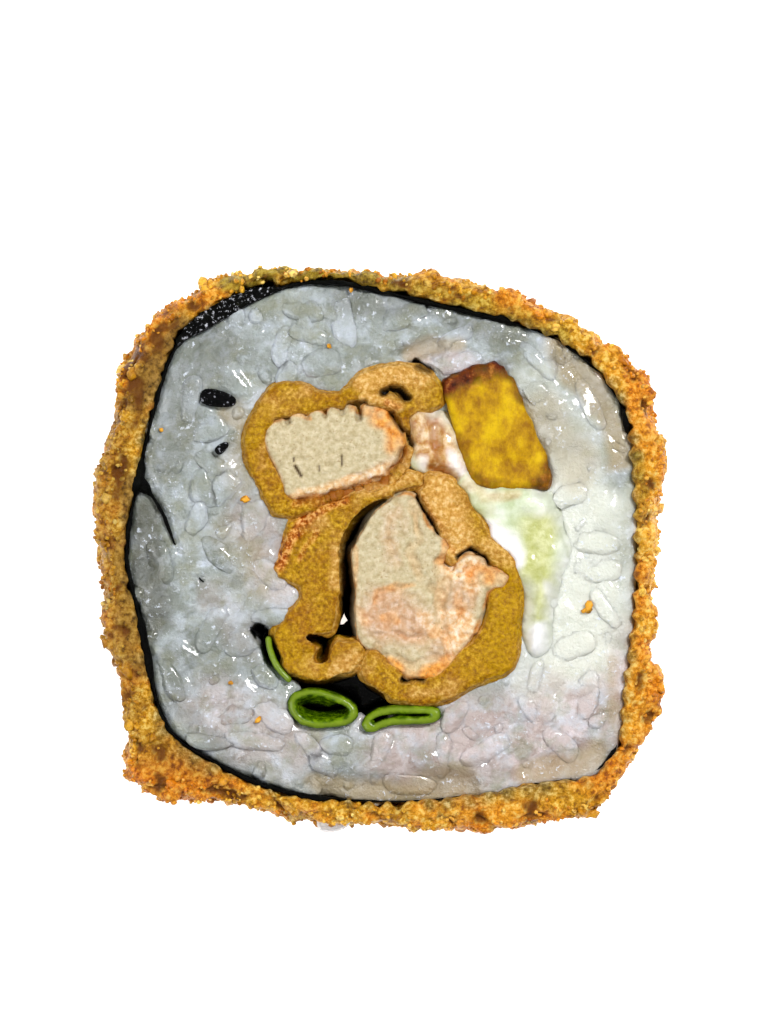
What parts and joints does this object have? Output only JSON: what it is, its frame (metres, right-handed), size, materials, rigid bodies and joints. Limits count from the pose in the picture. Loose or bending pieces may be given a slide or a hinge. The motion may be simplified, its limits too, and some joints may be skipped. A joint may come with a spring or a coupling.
{
  "type": "crunchy roll slice",
  "caption": "Slice of a crumbed and fried sushi roll: rice in seaweed round battered chicken, sweet potato, creamy sauce and scallion.",
  "frame": {"origin": "middle of the slice's footprint, on the surface that it lies on", "axes": "+Z along the roll, out of the upper cut face; +X to the right and +Y up as that face is looked at"},
  "size_m": [0.058, 0.057, 0.0227],
  "materials": {
    "crust": "rough",
    "nori": "satin",
    "rice": "glossy",
    "batter": "satin",
    "chicken": "satin",
    "sweet_potato": "satin",
    "cream": "glossy",
    "scallion": "glossy"
  },
  "bodies": {
    "root": {"crust": "crust", "nori": "nori", "rice": "rice", "batter_upper": "batter", "batter_tail": "batter", "batter_lower": "batter", "chicken_upper": "chicken", "chicken_lower": "chicken", "sweet_potato": "sweet_potato", "cream": "cream", "scallion_left": "scallion", "scallion_right": "scallion", "scallion_strip": "scallion"}
  },
  "joints": []
}
